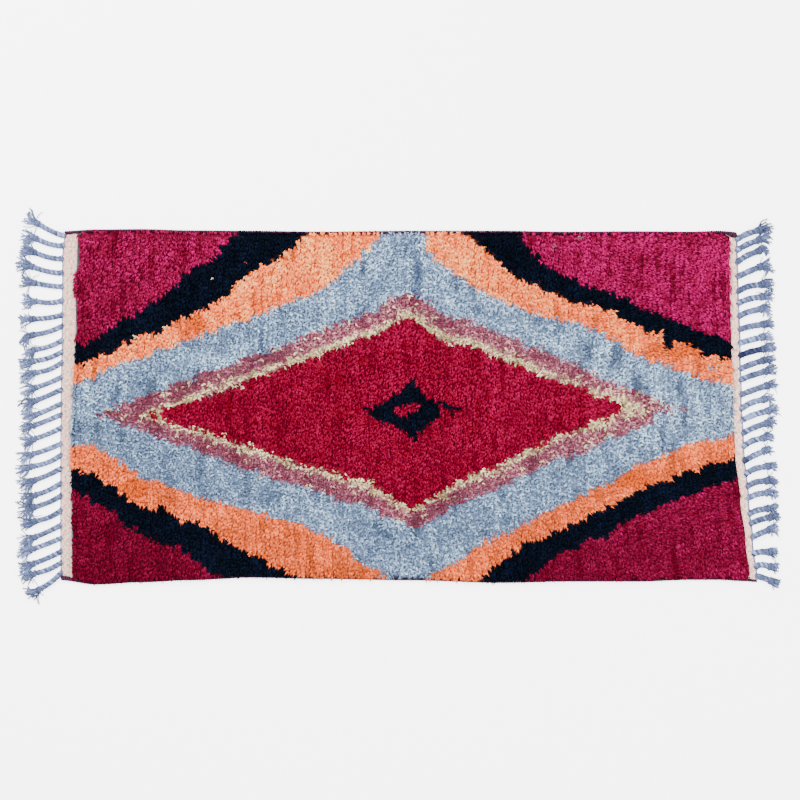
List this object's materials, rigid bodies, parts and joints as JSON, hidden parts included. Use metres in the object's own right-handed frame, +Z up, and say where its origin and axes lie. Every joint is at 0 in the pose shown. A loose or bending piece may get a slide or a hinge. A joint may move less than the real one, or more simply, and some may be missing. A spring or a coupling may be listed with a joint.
{
  "type": "berber rug",
  "caption": "Flat rectangular wool pile rug with a flat woven band and a row of knotted warp tassels at each end.",
  "frame": {"origin": "middle of the flat underside, on the floor, under the small motif at the centre of the field", "axes": "+X along the rug towards its shorter fringe, +Y across it towards the far long edge, +Z up out of the pile"},
  "size_m": [1.7621, 0.893, 0.0217],
  "materials": {
    "cream_weave": "weft-faced wool flatweave, cream",
    "wool_pile": "shaggy hand-knotted wool pile in crimson, navy, apricot, blue-grey, dusty pink and ecru",
    "plum_selvedge": "overcast wool, dark plum",
    "blue_warp": "twisted blue-grey wool warps, knotted"
  },
  "bodies": {
    "root": {"ground_weave": "cream_weave", "pile": "wool_pile", "selvedge_far": "plum_selvedge", "selvedge_near": "plum_selvedge", "fringe_left": "blue_warp", "fringe_right": "blue_warp"}
  },
  "joints": []
}
